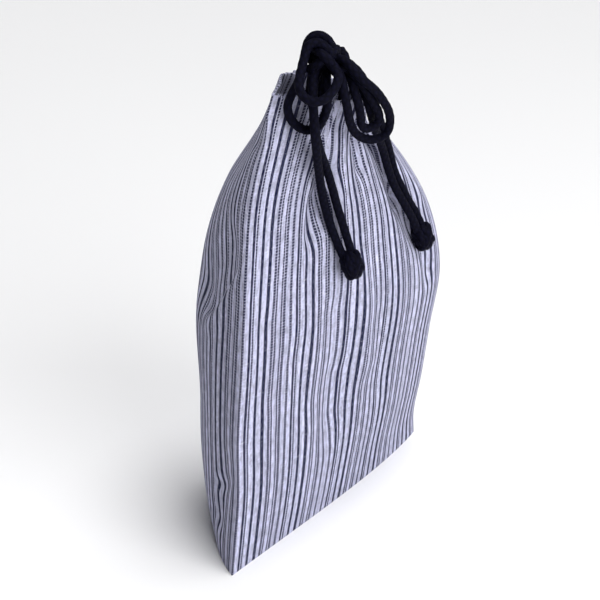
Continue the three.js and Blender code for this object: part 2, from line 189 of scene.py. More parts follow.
# Routes of the cord's strands, in metres, from the mouth or the bow's knot outwards.
CORD_ROUTES = {
    "cord_rise_near_a": [
        (-0.0344, 0.0028, 0.2608), (-0.0316, 0.0008, 0.268), (-0.028, 0.0014, 0.2754),
        (-0.0252, 0.0024, 0.282), (-0.0236, 0.0026, 0.2868), (-0.0232, -0.0002, 0.292),
    ],
    "cord_rise_near_b": [
        (-0.0252, 0.0004, 0.2576), (-0.024, -0.0012, 0.2646), (-0.0218, -0.001, 0.272),
        (-0.0204, -0.0012, 0.2786), (-0.0198, -0.0024, 0.2844), (-0.0212, -0.004, 0.2902),
    ],
    "cord_rise_far_a": [
        (0.0088, 0.0026, 0.253), (0.0062, 0.0018, 0.2628), (0.0024, 0, 0.2724),
        (-0.004, -0.0022, 0.2808), (-0.0122, -0.0034, 0.2872), (-0.0198, -0.005, 0.2932),
    ],
    "cord_rise_far_b": [
        (0.0156, 0.0064, 0.2522), (0.0138, 0.006, 0.26), (0.01, 0.0052, 0.2694),
        (0.0042, 0.0038, 0.2788), (-0.006, 0.0028, 0.2878), (-0.0186, 0.0004, 0.2948),
    ],
    "cord_loop_left_a": [
        (-0.0192, -0.0104, 0.2992), (-0.0226, -0.0096, 0.304), (-0.0244, -0.0072, 0.3082),
        (-0.0258, -0.0046, 0.3098), (-0.0276, -0.002, 0.31), (-0.0294, 0.0002, 0.3082),
        (-0.0306, 0.0012, 0.3054), (-0.032, 0.0014, 0.3014), (-0.0336, 0.0014, 0.2968),
        (-0.0366, 0.0004, 0.292), (-0.041, 0, 0.2864), (-0.0448, 0.001, 0.281),
        (-0.0476, 0.0016, 0.275), (-0.0472, 0.0004, 0.2686), (-0.0438, -0.0022, 0.2634),
        (-0.0394, -0.0058, 0.2606), (-0.0356, -0.0098, 0.2622), (-0.035, -0.0134, 0.2682),
        (-0.0352, -0.0156, 0.2756), (-0.0344, -0.0146, 0.2826), (-0.0316, -0.0124, 0.287),
        (-0.0263, -0.0089, 0.2898), (-0.023, -0.0072, 0.2934),
    ],
    "cord_loop_left_b": [
        (-0.0252, -0.0116, 0.2995), (-0.0284, -0.0114, 0.3032), (-0.0308, -0.0094, 0.3064),
        (-0.032, -0.0072, 0.3078), (-0.0338, -0.0052, 0.3078), (-0.0358, -0.0038, 0.3068),
        (-0.0374, -0.0032, 0.3046), (-0.0394, -0.0032, 0.3012), (-0.0424, -0.0038, 0.2966),
        (-0.046, -0.0048, 0.2916), (-0.0488, -0.0068, 0.287), (-0.0494, -0.0104, 0.2828),
        (-0.048, -0.015, 0.2808), (-0.045, -0.0188, 0.2814), (-0.0402, -0.0212, 0.2846),
        (-0.0358, -0.0218, 0.2888), (-0.0326, -0.0202, 0.2926), (-0.031, -0.016, 0.2958),
        (-0.028, -0.01, 0.2974),
    ],
    "cord_loop_right_a": [
        (-0.0228, -0.011, 0.2976), (-0.0228, -0.0161, 0.2982), (-0.023, -0.0202, 0.2966),
        (-0.0222, -0.0244, 0.2926), (-0.0196, -0.0284, 0.288), (-0.0138, -0.032, 0.2818),
        (-0.0072, -0.0334, 0.2742), (-0.0018, -0.0338, 0.2668), (0.0016, -0.0328, 0.2598),
        (0.0024, -0.031, 0.2536), (0.0006, -0.028, 0.2498), (-0.0038, -0.0246, 0.249),
        (-0.0094, -0.0216, 0.2512), (-0.0146, -0.0198, 0.256), (-0.019, -0.0198, 0.2628),
        (-0.0226, -0.0206, 0.2702), (-0.0252, -0.0206, 0.2774), (-0.0264, -0.02, 0.2832),
        (-0.0264, -0.0188, 0.2876), (-0.026, -0.0168, 0.291), (-0.0252, -0.0126, 0.2936),
        (-0.0236, -0.007, 0.2946),
    ],
    "cord_loop_right_b": [
        (-0.0205, -0.009, 0.296), (-0.019, -0.0156, 0.2933), (-0.0174, -0.0212, 0.2886),
        (-0.0154, -0.0252, 0.2836), (-0.0124, -0.0276, 0.2778), (-0.0079, -0.0284, 0.2712),
        (-0.0042, -0.0286, 0.266), (-0.0022, -0.028, 0.2612), (-0.003, -0.027, 0.2584),
        (-0.0052, -0.0256, 0.257), (-0.0076, -0.0242, 0.2566), (-0.0102, -0.0232, 0.2578),
        (-0.0118, -0.0226, 0.26), (-0.0126, -0.0228, 0.263), (-0.015, -0.0234, 0.2688),
        (-0.017, -0.0228, 0.2752), (-0.0182, -0.0214, 0.2808), (-0.0178, -0.0194, 0.2852),
        (-0.0166, -0.0158, 0.2884), (-0.0172, -0.012, 0.2911), (-0.018, -0.0078, 0.294),
    ],
    "cord_tail_front_a": [
        (-0.0262, -0.0056, 0.2966), (-0.0312, -0.0054, 0.294), (-0.0352, -0.0062, 0.29),
        (-0.038, -0.008, 0.2856), (-0.0414, -0.0104, 0.2802), (-0.0442, -0.0128, 0.2748),
        (-0.0462, -0.0148, 0.269), (-0.0468, -0.0158, 0.2626), (-0.0436, -0.0148, 0.2524),
        (-0.0334, -0.01, 0.2336), (-0.0238, -0.008, 0.2102), (-0.0182, -0.012, 0.1896),
        (-0.0152, -0.0172, 0.1762),
    ],
    "cord_tail_front_b": [
        (-0.0224, -0.0042, 0.2932), (-0.0268, -0.0034, 0.2902), (-0.0308, -0.004, 0.2862),
        (-0.0346, -0.006, 0.281), (-0.0384, -0.0088, 0.2746), (-0.0414, -0.0116, 0.2682),
        (-0.0414, -0.0128, 0.2604), (-0.0354, -0.0114, 0.2492), (-0.0246, -0.0102, 0.231),
        (-0.017, -0.0118, 0.209), (-0.0132, -0.0166, 0.1892), (-0.0118, -0.0204, 0.1758),
    ],
    "cord_tail_far_a": [
        (-0.0164, -0.0068, 0.2944), (-0.0104, -0.0085, 0.291), (-0.009, -0.0138, 0.287),
        (-0.008, -0.0178, 0.2824), (-0.007, -0.0208, 0.2764), (-0.0062, -0.0232, 0.2702),
        (0.0008, -0.0214, 0.2602), (0.0134, -0.0166, 0.2474), (0.0268, -0.0126, 0.2328),
        (0.036, -0.0122, 0.2152), (0.0412, -0.0134, 0.2042), (0.0472, -0.0154, 0.1938),
        (0.0526, -0.0174, 0.1846), (0.0574, -0.0188, 0.1762), (0.0638, -0.0188, 0.1652),
    ],
    "cord_tail_far_b": [
        (-0.0168, -0.003, 0.2962), (-0.0068, -0.0032, 0.2932), (-0.0018, -0.0062, 0.2894),
        (0.0018, -0.0114, 0.2836), (0.0038, -0.0156, 0.276), (0.011, -0.0156, 0.2662),
        (0.0196, -0.014, 0.2542), (0.0266, -0.0132, 0.243), (0.035, -0.012, 0.2298),
        (0.043, -0.0118, 0.2128), (0.049, -0.0132, 0.2018), (0.055, -0.0152, 0.1912),
        (0.061, -0.017, 0.1818), (0.0652, -0.0186, 0.1734), (0.069, -0.0196, 0.1636),
    ],
}

# Turns of the cord round the bow's knot, in metres.
KNOT_ROUTES = (
    [
        (-0.0186, -0.01, 0.3018), (-0.0272, -0.0118, 0.3014), (-0.0328, -0.0106, 0.2992),
        (-0.0344, -0.0066, 0.2954), (-0.032, -0.001, 0.2922),
    ],
    [
        (-0.0272, 0.0006, 0.3024), (-0.0316, -0.0058, 0.3032), (-0.0338, -0.0118, 0.302),
        (-0.032, -0.0152, 0.2984), (-0.0276, -0.0156, 0.2938), (-0.0222, -0.0132, 0.2898),
    ],
    [
        (-0.012, -0.0062, 0.299), (-0.0094, -0.002, 0.2948), (-0.011, 0.0022, 0.2914),
        (-0.017, 0.004, 0.2892), (-0.0248, 0.0026, 0.2902),
    ],
    [
        (-0.0138, 0.007, 0.289), (-0.0124, 0.0068, 0.2956), (-0.0172, 0.0028, 0.3012),
        (-0.0236, -0.0028, 0.3044), (-0.0294, -0.0082, 0.304),
    ],
    [
        (-0.0104, -0.007, 0.2986), (-0.0136, -0.012, 0.2964), (-0.0182, -0.015, 0.2942),
        (-0.0242, -0.0158, 0.2924), (-0.0266, -0.0132, 0.2914),
    ],
    [
        (-0.0264, 0.003, 0.3002), (-0.0276, 0.0012, 0.2972), (-0.0276, -0.0014, 0.2938),
        (-0.0262, -0.0048, 0.2906),
    ],
)
# Turns round each end knot: tilt about X, Y and Z in degrees, and half its size both ways as shares of the
# knot's reach. A turn stops just short of a full circle and rises a little along it.
END_KNOT_STRETCH = (1.04, 1.04, 1.3)
END_KNOT_ARC = 355
END_KNOT_RISE = 0.1
END_KNOT_TURNS = (
    ((60, 20, 10), (1.0, 0.92)),
    ((110, 30, 60), (0.96, 0.96)),
    ((20, 60, 0), (0.95, 0.9)),
    ((15, 10, 30), (0.92, 0.92)),
)
# Size of the core, as a share of the box of the imported bow knot and of an end knot.
BOW_CORE = 0.82
END_CORE = 0.86
# Sampling of the strands and of the bow knot's turns, in metres.
STRAND_STEP = 0.0004
KNOT_STEP = 0.0005

# Stage, in metres: the lights, the floor's profile as radius and height, between which rises of the view
# the room's glow above the floor dims, and the camera.
KEY_PLACE = Vector((-0.25, -1.25, 0.85))
KEY_AIM = Vector((0, 0, 0.16))
KEY_SIZE = 1.3
TOP_PLACE = Vector((0.35, -0.2, 2.0))
TOP_AIM = Vector((0, 0, 0))
TOP_SPREAD = math.radians(40)
FLOOR_PROFILE = ((2, 0), (7, 0), (8.6, 0.08), (9.8, 0.3), (10.8, 0.75), (11.6, 1.4))
FLOOR_SIDES = 64
SKY_RISES = (0.1, 0.22)
SKY_GLOW = 0.78
CAMERA_PLACE = Vector((-0.67243, -0.44744, 0.53506))
CAMERA_RIGHT = Vector((0.5796, -0.8148, 0.0110))
CAMERA_UP = Vector((0.3520, 0.2625, 0.8984))
CAMERA_BACK = Vector((-0.7349, -0.5169, 0.4390))


class PouchClothSettings(bpy.types.PropertyGroup):
    """Sizes and colours of the striped cotton."""

    height: FloatProperty(
        name="Height", description="From the base to the rim", default=0.27, unit="LENGTH",
    )
    panel_width: FloatProperty(
        name="Panel width", description="Width of one panel laid flat", default=0.21, unit="LENGTH",
    )
    hem_depth: FloatProperty(
        name="Hem", description="How far the hem is turned down inside the mouth", default=0.024,
        unit="LENGTH",
    )
    back_fullness: FloatProperty(
        name="Back fullness", description="Stripes across the fuller back, as a share of the front's",
        default=1.2,
    )
    dot_pitch: FloatProperty(
        name="Dot pitch", description="Length of one dot and gap in the dotted stripes", default=0.0017,
        unit="LENGTH",
    )
    stripe_count: IntProperty(
        name="Stripes", description="Stripes across one panel", default=31, min=1,
    )
    ground: FloatVectorProperty(
        name="Ground", description="Pale ground of the cloth", default=(0.51, 0.515, 0.68), size=3,
        subtype="COLOR",
    )
    stripe: FloatVectorProperty(
        name="Stripe", description="Indigo warp stripes", default=(0.008, 0.009, 0.038), size=3,
        subtype="COLOR",
    )


class PouchCordSettings(bpy.types.PropertyGroup):
    """Sizes and colours of the braided cord."""

    diameter: FloatProperty(
        name="Diameter", description="Thickness of the cord", default=0.005, unit="LENGTH",
    )
    braid_length: FloatProperty(
        name="Braid length", description="Length of one plait along the cord", default=0.0024, unit="LENGTH",
    )
    plaits: IntProperty(
        name="Plaits", description="Plaits around the cord", default=8, min=3,
    )
    relief: FloatProperty(
        name="Relief", description="How far a plait stands out, as a share of the radius", default=0.07,
    )
    colour: FloatVectorProperty(
        name="Cord colour", description="Dark navy of the cord", default=(0.0012, 0.0012, 0.0048), size=3,
        subtype="COLOR",
    )


class PouchStageSettings(bpy.types.PropertyGroup):
    """The floor and the studio light."""

    floor: FloatVectorProperty(
        name="Floor", description="Pale studio floor", default=(0.9, 0.9, 0.91), size=3, subtype="COLOR",
    )
    key_power: FloatProperty(
        name="Key light", description="Strength of the main soft light", default=18, unit="POWER",
    )
    top_strength: FloatProperty(
        name="Overhead light", description="Strength of the soft light from above", default=2.6,
    )
    sky_strength: FloatProperty(
        name="Room light", description="Strength of the light from all around", default=0.05,
    )


class Value:
    """A shader socket that Python expressions can be written with."""

    def __init__(self, finish, socket):
        self.finish = finish
        self.socket = socket

    def math(self, operation, *others):
        inputs = dict(enumerate((self, *others)))
        return self.finish.add("ShaderNodeMath", {"operation": operation}, inputs)

    def after(self, operation, first):
        return self.finish.add("ShaderNodeMath", {"operation": operation}, {0: first, 1: self})

    def beside(self, output):
        """Another output of the same node."""
        return Value(self.finish, self.socket.node.outputs[output])

    def __add__(self, other):
        return self.math("ADD", other)

    def __radd__(self, other):
        return self.after("ADD", other)

    def __sub__(self, other):
        return self.math("SUBTRACT", other)

    def __rsub__(self, other):
        return self.after("SUBTRACT", other)

    def __mul__(self, other):
        return self.math("MULTIPLY", other)

    def __rmul__(self, other):
        return self.after("MULTIPLY", other)

    def __truediv__(self, other):
        return self.math("DIVIDE", other)

    def __abs__(self):
        return self.math("ABSOLUTE")


class Finish:
    """A material, or the room's light, whose nodes are added one call at a time."""

    def __init__(self, holder):
        self.holder = holder
        self.holder.use_nodes = True
        self.tree = self.holder.node_tree
        self.tree.nodes.clear()

    def put(self, slot, item):
        if isinstance(item, Value):
            self.tree.links.new(item.socket, slot)
        else:
            slot.default_value = item

    def add(self, kind, settings=None, inputs=None, output=0):
        node = self.tree.nodes.new(kind)
        for name, item in (settings or {}).items():
            if name == "stops":
                ramp = node.color_ramp
                ramp.interpolation = "CONSTANT"
                while len(ramp.elements) < len(item):
                    ramp.elements.new(1.0)
                for stop, (place, colour) in zip(ramp.elements, item):
                    stop.position = place
                    stop.color = colour
            else:
                setattr(node, name, item)
        for name, item in (inputs or {}).items():
            self.put(node.inputs[name], item)
        return Value(self, node.outputs[output])

    def step(self, value, low, high):
        """Goes softly from 0 at low to 1 at high."""
        return self.add(
            "ShaderNodeMapRange",
            {"interpolation_type": "SMOOTHSTEP"},
            {"Value": value, "From Min": low, "From Max": high},
        )

    def noise(self, vector, scale, detail=2.0):
        return self.add("ShaderNodeTexNoise", None, {"Vector": vector, "Scale": scale, "Detail": detail})

    def mix(self, factor, first, second):
        """Mixes two colours."""
        first, second = (item if isinstance(item, Value) else (*item, 1.0) for item in (first, second))
        return self.add("ShaderNodeMix", {"data_type": "RGBA"}, {0: factor, 6: first, 7: second}, output=2)

    def uv(self, layer):
        """The two coordinates of a UV layer, as values, and the layer as a vector."""
        vector = self.add("ShaderNodeUVMap", {"uv_map": layer})
        across = self.add("ShaderNodeSeparateXYZ", None, {"Vector": vector})
        return across, across.beside(1), vector

    def close(self, shader, kind):
        """Links the last shader to an output node, and gives back what the nodes belong to."""
        output = self.tree.nodes.new(kind)
        self.tree.links.new(shader.socket, output.inputs["Surface"])
        return self.holder

    def surface(self, inputs):
        return self.close(self.add("ShaderNodeBsdfPrincipled", None, inputs), "ShaderNodeOutputMaterial")


def section_values(heights):
    """Each column of the section table at the heights, on smooth curves through its rows."""
    levels = SECTIONS[:, 0]
    last = len(levels) - 1
    rows = np.arange(last + 1)
    before = np.maximum(rows - 1, 0)
    after = np.minimum(rows + 1, last)
    slopes = (SECTIONS[after] - SECTIONS[before]) / (levels[after] - levels[before])[:, None]
    row = np.clip(np.searchsorted(levels, heights, side="right") - 1, 0, last - 1)
    span = (levels[row + 1] - levels[row])[:, None]
    s = (heights - levels[row])[:, None] / span
    start = (1 + 2 * s) * (1 - s) ** 2 * SECTIONS[row] + s * (1 - s) ** 2 * span * slopes[row]
    end = s ** 2 * (3 - 2 * s) * SECTIONS[row + 1] + s ** 2 * (s - 1) * span * slopes[row + 1]
    values = start + end
    return {name: values[:, i:i + 1] for i, name in enumerate(SECTION_COLUMNS)}


def swell(chord, lean):
    """0 at a panel's edges and 1 at its fullest place."""
    leaned = chord + lean * chord * (1 - chord)
    return np.maximum(4 * leaned * (1 - leaned), 0) ** SWELL_POWER


def outline(panel, section, chord):
    x = section["near_x"] + (section["far_x"] - section["near_x"]) * chord
    y = section["near_y"] + (section["far_y"] - section["near_y"]) * chord
    if panel == "front":
        return x, y - section["front"] * swell(chord, section["front_lean"])
    return x, y + section["back"] * swell(chord, section["back_lean"])


def even_chords(panel, section, across):
    """The chord shares that space the cloth of a panel evenly at each height."""
    fine = 0.5 - 0.5 * np.cos(np.pi * np.linspace(0, 1, 121))[None, :]
    x, y = outline(panel, section, fine)
    steps = np.hypot(np.diff(x, axis=1), np.diff(y, axis=1))
    runs = np.concatenate([np.zeros((len(x), 1)), np.cumsum(steps, axis=1)], axis=1)
    eased = across + section["ease"] * across * (1 - across)
    return np.array([np.interp(share * run[-1], run, fine[0]) for share, run in zip(eased, runs)])


def fold_push(lines, panel, across, heights, panel_width):
    """How far the folds push each place of the cloth out of its panel."""
    x = across[None, :] * panel_width
    z = heights[:, None]
    push = np.zeros((len(heights), len(across)))
    for side, share, up, to_share, to_up, width, depth in lines:
        if side != panel:
            continue
        ax = share * panel_width
        dx = to_share * panel_width - ax
        dz = to_up - up
        t = np.clip(((x - ax) * dx + (z - up) * dz) / (dx * dx + dz * dz), 0, 1)
        gap = (x - ax - t * dx) ** 2 + (z - up - t * dz) ** 2
        push += depth * np.exp(-gap / width ** 2)
    return push


def panel_points(panel, heights, across, panel_width):
    """Places of a panel's cloth, by height and share across, in millimetres."""
    section = section_values(heights)
    chord = even_chords(panel, section, across[None, :])
    x, y = outline(panel, section, chord)
    edge = np.clip(np.minimum(chord, 1 - chord) / EDGE_CALM, 0, 1)
    foot = np.clip(heights[:, None] / FOOT_CALM, 0, 1)
    push = fold_push(FOLDS + CREASES, panel, across, heights, panel_width) * edge * foot
    y = y - push if panel == "front" else y + push
    z = heights[:, None] + section["lift"] * (0.5 - chord)
    if panel == "back":
        z = z + section["rise"] * swell(chord, 0)
    return np.stack([x, y, z], axis=-1)


def cloth_strip(heights, panel_width):
    """Rows round the pouch: the back panel from the far seam to the near fold, then the front panel."""
    across = np.linspace(0, 1, PANEL_COLUMNS + 1)
    front = panel_points("front", heights, across, panel_width)
    back = panel_points("back", heights, across, panel_width)
    strip = np.concatenate([back[:, :0:-1], front], axis=1)
    low, high = EDGE_ROUNDED
    fade_in, fade_out = EDGE_FADE
    rounding = np.clip((heights - low) / fade_in, 0, 1) * np.clip((high - heights) / fade_out, 0, 1)
    steps_off = np.abs(np.arange(1, 2 * PANEL_COLUMNS) - PANEL_COLUMNS)
    near = np.clip(1 - steps_off / EDGE_REACH, 0, 1)
    for _ in range(EDGE_PASSES):
        middle = (strip[:, :-2] + 2 * strip[:, 1:-1] + strip[:, 2:]) / 4
        strip[:, 1:-1] += (middle - strip[:, 1:-1]) * (rounding[:, None] * near)[..., None]
    return strip


def woven_shares(rows, ease):
    """How far across the panel's cloth each place lies, from 0 at the near fold to 1 at the far seam."""
    steps = np.linalg.norm(np.diff(rows, axis=1), axis=2)
    runs = np.concatenate([np.zeros((len(rows), 1)), np.cumsum(steps, axis=1)], axis=1)
    share = runs / runs[:, -1:]
    slack = np.maximum(ease, 1e-4)
    woven = (1 + slack - np.sqrt((1 + slack) ** 2 - 4 * slack * share)) / (2 * slack)
    mixed = 0.5 * woven + 0.5 * np.linspace(0, 1, rows.shape[1])[None, :]
    weights = np.hanning(2 * STRIPE_CALM + 3)[1:-1]
    padded = np.pad(mixed, ((STRIPE_CALM, STRIPE_CALM), (0, 0)), mode="edge")
    return sum(weight * padded[i:i + len(mixed)] for i, weight in enumerate(weights)) / weights.sum()


def tucked_cloth(heights, across):
    """Cloth that lies hidden in the fold of the neck before each place of the front, in millimetres."""
    top_share, top, foot_share, foot = TUCK_LINE
    risen = np.clip((heights - foot) / (top - foot), 0, 1)[:, None]
    line = foot_share + (top_share - foot_share) * risen
    past = across[None, :] - line
    over = np.clip(past / TUCK_LIP + 0.5, 0, 1)
    eased = np.clip(past / TUCK_EASE, 0, 1)
    return TUCK_CLOTH * risen ** TUCK_GROWTH * over * (1 - eased)


def inward(strip):
    """The level direction into the pouch, square to the cloth."""
    closed = np.concatenate([strip[:, -2:-1], strip, strip[:, 1:2]], axis=1)
    along = closed[:, 2:] - closed[:, :-2]
    normal = np.stack([-along[..., 1], along[..., 0], np.zeros_like(along[..., 0])], axis=-1)
    return normal / np.linalg.norm(normal, axis=-1, keepdims=True)


def smooth_route(points, step):
    """A centripetal curve through the points, sampled every step."""
    points = np.asarray(points, dtype=float)
    padded = np.vstack([2 * points[0] - points[1], points, 2 * points[-1] - points[-2]])
    knots = np.concatenate([[0], np.cumsum(np.sqrt(np.linalg.norm(np.diff(padded, axis=0), axis=1)))])
    samples = []
    for i in range(1, len(padded) - 2):
        p0, p1, p2, p3 = padded[i - 1:i + 3]
        t0, t1, t2, t3 = knots[i - 1:i + 3]
        t = np.linspace(t1, t2, 24, endpoint=False)[:, None]
        a1 = (t1 - t) / (t1 - t0) * p0 + (t - t0) / (t1 - t0) * p1
        a2 = (t2 - t) / (t2 - t1) * p1 + (t - t1) / (t2 - t1) * p2
        a3 = (t3 - t) / (t3 - t2) * p2 + (t - t2) / (t3 - t2) * p3
        b1 = (t2 - t) / (t2 - t0) * a1 + (t - t0) / (t2 - t0) * a2
        b2 = (t3 - t) / (t3 - t1) * a2 + (t - t1) / (t3 - t1) * a3
        samples.append((t2 - t) / (t2 - t1) * b1 + (t - t1) / (t2 - t1) * b2)
    fine = np.vstack([*samples, points[-1:]])
    runs = np.concatenate([[0], np.cumsum(np.linalg.norm(np.diff(fine, axis=0), axis=1))])
    even = np.linspace(0, runs[-1], max(int(round(runs[-1] / step)), 8) + 1)
    return np.stack([np.interp(even, runs, fine[:, i]) for i in range(3)], axis=1), runs[-1]


def tube_frames(path):
    """Two directions across the path at each point, turning as little as they can along it."""
    tangents = np.gradient(path, axis=0)
    tangents /= np.linalg.norm(tangents, axis=1, keepdims=True)
    first = np.cross(tangents[0], (0.31, 0.42, 0.85))
    sides = [first / np.linalg.norm(first)]
    for tangent in tangents[1:]:
        side = sides[-1] - tangent * np.dot(sides[-1], tangent)
        sides.append(side / np.linalg.norm(side))
    sides = np.array(sides)
    return sides, np.cross(tangents, sides)


def tube(path, radius):
    """Points and faces of a closed tube along a path. radius has a row for each ring of it."""
    rings, around = radius.shape
    sides, ups = tube_frames(path)
    angle = 2 * np.pi * np.arange(around) / around
    spokes = sides[:, None] * np.cos(angle)[None, :, None] + ups[:, None] * np.sin(angle)[None, :, None]
    points = (path[:, None] + spokes * radius[..., None]).reshape(-1, 3)
    faces = []
    for i in range(rings - 1):
        for j in range(around):
            k = (j + 1) % around
            faces.append((i * around + j, i * around + k, (i + 1) * around + k, (i + 1) * around + j))
    last = (rings - 1) * around
    return points, faces + [tuple(range(around))[::-1], tuple(range(last, last + around))]


def braided_tube(path, cord):
    """Points, faces and UVs of a braided cord along a path in metres."""
    around = 4 * cord.plaits
    runs = np.concatenate([[0], np.cumsum(np.linalg.norm(np.diff(path, axis=0), axis=1))])
    turn = np.arange(around) / around
    lengthwise = (runs / cord.braid_length)[:, None]
    crosswise = (turn * cord.plaits)[None, :]
    left = np.sin(np.pi * (lengthwise + crosswise) / 2)
    right = np.sin(np.pi * (lengthwise - crosswise) / 2)
    radius = cord.diameter / 2 * (1 + cord.relief * (np.abs(left * right) - 0.6))
    uvs = []
    for low, high in zip(runs[:-1], runs[1:]):
        for u in turn:
            v = u + 1 / around
            uvs += [(u, low), (v, low), (v, high), (u, high)]
    uvs += [(0.5, runs[0])] * around + [(0.5, runs[-1])] * around
    return (*tube(path, radius), uvs)


def make_piece(name, points, faces, uvs, layer, material):
    """A smooth mesh object from points in metres, with its UV layer and material."""
    mesh = bpy.data.meshes.new(name)
    mesh.from_pydata([tuple(point) for point in points], [], faces)
    mesh.uv_layers.new(name=layer).data.foreach_set("uv", np.asarray(uvs, dtype=np.float32).ravel())
    mesh.polygons.foreach_set("use_smooth", np.ones(len(faces), dtype=bool))
    mesh.materials.append(material)
    mesh.update()
    piece = bpy.data.objects.new(name, mesh)
    bpy.context.scene.collection.objects.link(piece)
    return piece


def join_parts(parts):
    """Several lists of points, faces and UVs as one."""
    points, faces, uvs = [], [], []
    for part_points, part_faces, part_uvs in parts:
        shift = len(points)
        points += [tuple(point) for point in part_points]
        faces += [tuple(index + shift for index in face) for face in part_faces]
        uvs += list(part_uvs)
    return points, faces, uvs


def striped_cotton(cloth):
    """Woven cotton with indigo warp stripes, some solid and some dotted."""
    finish = Finish(bpy.data.materials.new("woven_stripes"))
    across, up, vector = finish.uv("weave")

    def grain(scale, detail=3.0):
        """Noise stretched along the warp or the weft, from its scale across and up."""
        inputs = {0: vector, 1: (*scale, 0)}
        stretched = finish.add("ShaderNodeVectorMath", {"operation": "MULTIPLY"}, inputs)
        return finish.noise(stretched, 1.0, detail)

    pitch = cloth.panel_width / MM / cloth.stripe_count
    wander = (grain((0.12, 0.012), 2.0) - 0.5) * STRIPE_WANDER
    place = (across + wander) / pitch + 0.5
    index = place.math("FLOOR")
    x = (place - index - 0.5) * pitch
    repeat = len(STRIPE_REPEAT)
    share = (index + 0.5).math("FLOORED_MODULO", float(repeat)) / repeat
    stops = []
    for i, kind in enumerate(STRIPE_REPEAT):
        first, first_dots, second, second_dots = STRIPE_KINDS[kind]
        stops.append((i / repeat, (first / 4, first_dots, second / 4, second_dots)))
    chart = finish.add("ShaderNodeValToRGB", {"stops": stops}, {"Fac": share})
    first_width = finish.add("ShaderNodeSeparateColor", None, {"Color": chart})
    second_width = first_width.beside(2)
    paired = finish.step(second_width, 0.01, 0.02)
    dots = finish.step((up * (2 * math.pi / cloth.dot_pitch * MM)).math("SINE"), -1.15, -0.55)

    def line(centre, width, dotted):
        """1 on a line of the stripe and 0 off it."""
        gap = abs(x - centre)
        body = 1 - finish.step(gap, width * 1.6, width * 2.4)
        return body * (1 - dotted * (1 - dots))

    first_line = line(paired * -PAIR_OFFSET, first_width, first_width.beside(1))
    second_line = line(PAIR_OFFSET, second_width, chart.beside("Alpha")) * paired
    fibre = grain((1.6, 0.35))
    weft = grain((0.3, 1.9))
    streak = grain((0.55, 0.01), 1.0)
    slub = finish.step(grain((0.16, 1.5), 1.0), 0.69, 0.74)
    blotch = grain((0.4, 0.16), 2.0)
    mottle = finish.step(fibre * 0.2 + weft * 0.25 + streak * 0.2 + blotch * 0.35, 0.4, 0.6)
    dull, bright, grey = (tuple(min(c * tint, 1) for c in cloth.ground) for tint in (0.66, 1.24, 0.55))
    faded = finish.step(grain((0.22, 0.006), 2.0), 0.38, 0.62)
    ground = finish.mix(faded * 0.3, finish.mix(mottle, dull, bright), grey)
    ink = first_line.math("MAXIMUM", second_line) * (0.8 + 0.2 * finish.step(fibre, 0.25, 0.6))
    ink = ink * (1 - slub * 0.35)
    colour = finish.mix(ink, finish.mix(slub * 0.6, ground, (0.88, 0.88, 0.94)), tuple(cloth.stripe))
    thread = 2 * math.pi / THREAD_PITCH
    weave = (across * thread).math("SINE") * (up * thread).math("SINE")
    relief = fibre + weft + weave * 0.5 + slub * 0.5
    bump = finish.add("ShaderNodeBump", None, {"Strength": 0.35, "Distance": 0.0003, "Height": relief})
    return finish.surface({
        "Base Color": colour,
        "Roughness": 0.92,
        "Normal": bump,
        "Sheen Weight": 0.03,
        "Sheen Roughness": 0.5,
        "Specular IOR Level": 0.06,
    })


def braided_cotton(cord):
    """Dark braided cord, with a painted highlight on the crowns of its plaits."""
    finish = Finish(bpy.data.materials.new("navy_braid"))
    around, along, _ = finish.uv("braid")
    lengthwise = along / cord.braid_length
    crosswise = around * cord.plaits
    first = abs(((lengthwise + crosswise) * (math.pi / 2)).math("SINE"))
    second = abs(((lengthwise - crosswise) * (math.pi / 2)).math("SINE"))
    plait = first * second
    fuzz = finish.noise(finish.add("ShaderNodeTexCoord", None, None, output=3), 900.0, 3.0)
    # Painted highlight: the crowns of the plaits are coloured up to three times lighter than the painted
    # shade of the grooves between them, and the fibre fuzz varies this at random.
    light = tuple(min(c * 3, 1) for c in cord.colour)
    colour = finish.mix(plait * (0.5 + fuzz * 0.5), tuple(cord.colour), light)
    relief = plait + fuzz * 0.4
    bump = finish.add("ShaderNodeBump", None, {"Strength": 0.5, "Distance": 0.0002, "Height": relief})
    return finish.surface({
        "Base Color": colour,
        "Roughness": 0.78,
        "Normal": bump,
        "Specular IOR Level": 0.07,
    })


def shared_finish(name, maker, settings):
    """The finish of that name, made the first time that it is asked for."""
    return bpy.data.materials.get(name) or maker(settings)


